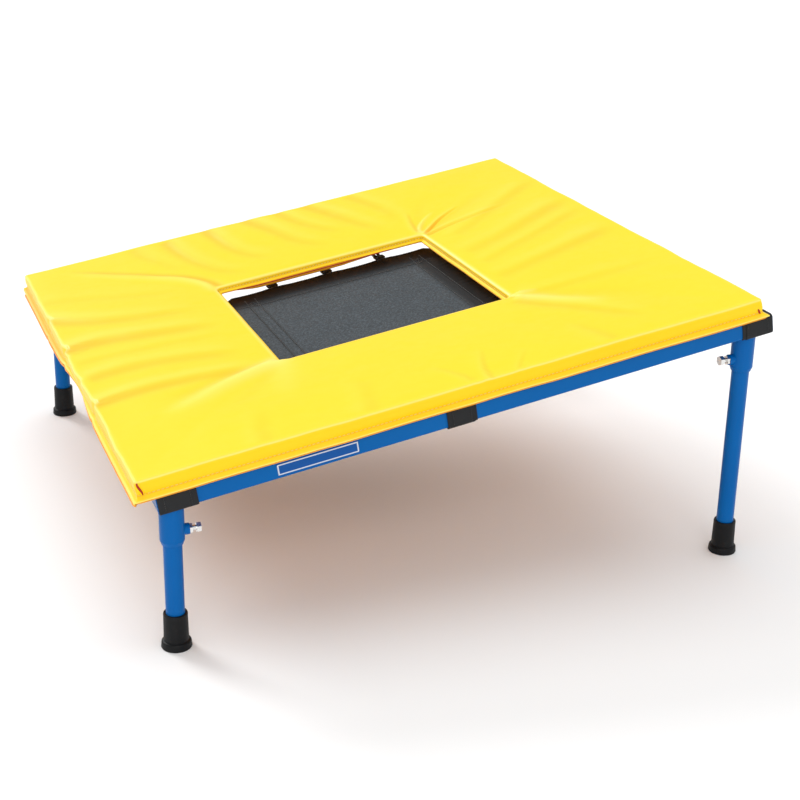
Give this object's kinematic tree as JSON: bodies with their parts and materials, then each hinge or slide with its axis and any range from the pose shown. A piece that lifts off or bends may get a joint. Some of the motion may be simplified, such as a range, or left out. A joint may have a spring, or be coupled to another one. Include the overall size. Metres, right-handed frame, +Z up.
{
  "type": "mini trampoline",
  "caption": "Square mini-trampoline with a padded cover over a tilted tube frame, a cord-sprung bed and telescopic screw-clamped legs.",
  "frame": {"origin": "on the floor, at the middle of the object's footprint box", "axes": "+X along the length, from the low end to the high end; +Y from the front to the back; +Z up"},
  "size_m": [1.2774, 1.275, 0.5592],
  "materials": {
    "blue_enamel": "gloss",
    "black_rubber": "matt",
    "zinc_steel": "bright zinc",
    "yellow_vinyl": "smooth coated fabric",
    "pad_underside": "plain",
    "foam": "open cell",
    "black_webbing": "woven",
    "bed_weave": "woven",
    "black_cord": "satin",
    "label_plate": "printed film",
    "black_wire": "satin"
  },
  "bodies": {
    "frame": {"blank_label": "label_plate", "cable_hooks": "blue_enamel", "cables_back": "black_cord", "cables_corner": "black_cord", "cables_front": "black_cord", "cables_high": "black_cord", "cables_low": "black_cord", "foam_back": "foam", "foam_front": "foam", "foam_high": "foam", "foam_low": "foam", "pad_base": "pad_underside", "pad_cover": "yellow_vinyl", "rail_back": "blue_enamel", "rail_front": "blue_enamel", "rail_high": "blue_enamel", "rail_low": "blue_enamel", "sleeve_back_high": "blue_enamel", "sleeve_back_low": "blue_enamel", "sleeve_front_high": "blue_enamel", "sleeve_front_low": "blue_enamel", "strap_back_high": "black_webbing", "strap_back_low": "black_webbing", "strap_back_middle": "black_webbing", "strap_front_high": "black_webbing", "strap_front_low": "black_webbing", "strap_front_middle": "black_webbing"},
    "bed": {"bed_mat": "bed_weave", "bed_hem": "black_webbing", "bed_tabs": "black_webbing", "bed_links": "black_wire"},
    "leg_front_low": {"leg_front_low": "blue_enamel", "boot_front_low": "black_rubber"},
    "nut_front_low": {"lock_nut_front_low": "zinc_steel"},
    "screw_front_low": {"set_screw_front_low": "zinc_steel"},
    "leg_back_low": {"leg_back_low": "blue_enamel", "boot_back_low": "black_rubber"},
    "nut_back_low": {"lock_nut_back_low": "zinc_steel"},
    "screw_back_low": {"set_screw_back_low": "zinc_steel"},
    "leg_front_high": {"leg_front_high": "blue_enamel", "boot_front_high": "black_rubber"},
    "nut_front_high": {"lock_nut_front_high": "zinc_steel"},
    "screw_front_high": {"set_screw_front_high": "zinc_steel"},
    "leg_back_high": {"leg_back_high": "blue_enamel", "boot_back_high": "black_rubber"},
    "nut_back_high": {"lock_nut_back_high": "zinc_steel"},
    "screw_back_high": {"set_screw_back_high": "zinc_steel"}
  },
  "joints": [
    {"name": "leg_front_low_slide", "type": "slide", "parent": "frame", "child": "leg_front_low", "axis": [0, 0, -1], "range_m": [0, 0.035]},
    {"name": "nut_front_low_slide", "type": "slide", "parent": "frame", "child": "nut_front_low", "axis": [1, 0, 0], "range_m": [0, 0.006]},
    {"name": "screw_front_low_turn", "type": "hinge", "parent": "nut_front_low", "child": "screw_front_low", "pos_m": [-0.56544, -0.595, 0.23472], "axis": [1, 0, 0], "range_deg": [0, 1440]},
    {"name": "leg_back_low_slide", "type": "slide", "parent": "frame", "child": "leg_back_low", "axis": [0, 0, -1], "range_m": [0, 0.035]},
    {"name": "nut_back_low_slide", "type": "slide", "parent": "frame", "child": "nut_back_low", "axis": [1, 0, 0], "range_m": [0, 0.006]},
    {"name": "screw_back_low_turn", "type": "hinge", "parent": "nut_back_low", "child": "screw_back_low", "pos_m": [-0.56544, 0.595, 0.23472], "axis": [1, 0, 0], "range_deg": [0, 1440]},
    {"name": "leg_front_high_slide", "type": "slide", "parent": "frame", "child": "leg_front_high", "axis": [0, 0, -1], "range_m": [0, 0.035]},
    {"name": "nut_front_high_slide", "type": "slide", "parent": "frame", "child": "nut_front_high", "axis": [-1, 0, 0], "range_m": [0, 0.006]},
    {"name": "screw_front_high_turn", "type": "hinge", "parent": "nut_front_high", "child": "screw_front_high", "pos_m": [0.59327, -0.595, 0.42654], "axis": [-1, 0, 0], "range_deg": [0, 1440]},
    {"name": "leg_back_high_slide", "type": "slide", "parent": "frame", "child": "leg_back_high", "axis": [0, 0, -1], "range_m": [0, 0.035]},
    {"name": "nut_back_high_slide", "type": "slide", "parent": "frame", "child": "nut_back_high", "axis": [-1, 0, 0], "range_m": [0, 0.006]},
    {"name": "screw_back_high_turn", "type": "hinge", "parent": "nut_back_high", "child": "screw_back_high", "pos_m": [0.59327, 0.595, 0.42654], "axis": [-1, 0, 0], "range_deg": [0, 1440]},
    {"name": "bed_bounce", "type": "slide", "parent": "frame", "child": "bed", "axis": [0.1633, 0, -0.9866], "range_m": [0, 0.12], "stiffness_N_per_m": 6000, "springref_m": -0.02, "deforming": ["cables_back", "cables_corner", "cables_front", "cables_high", "cables_low"]}
  ],
  "couplings": [
    {"joint": "screw_front_low_turn", "follows": "nut_front_low_slide", "rad_per_m": 4188.8},
    {"joint": "screw_back_low_turn", "follows": "nut_back_low_slide", "rad_per_m": 4188.8},
    {"joint": "screw_front_high_turn", "follows": "nut_front_high_slide", "rad_per_m": 4188.8},
    {"joint": "screw_back_high_turn", "follows": "nut_back_high_slide", "rad_per_m": 4188.8}
  ]
}
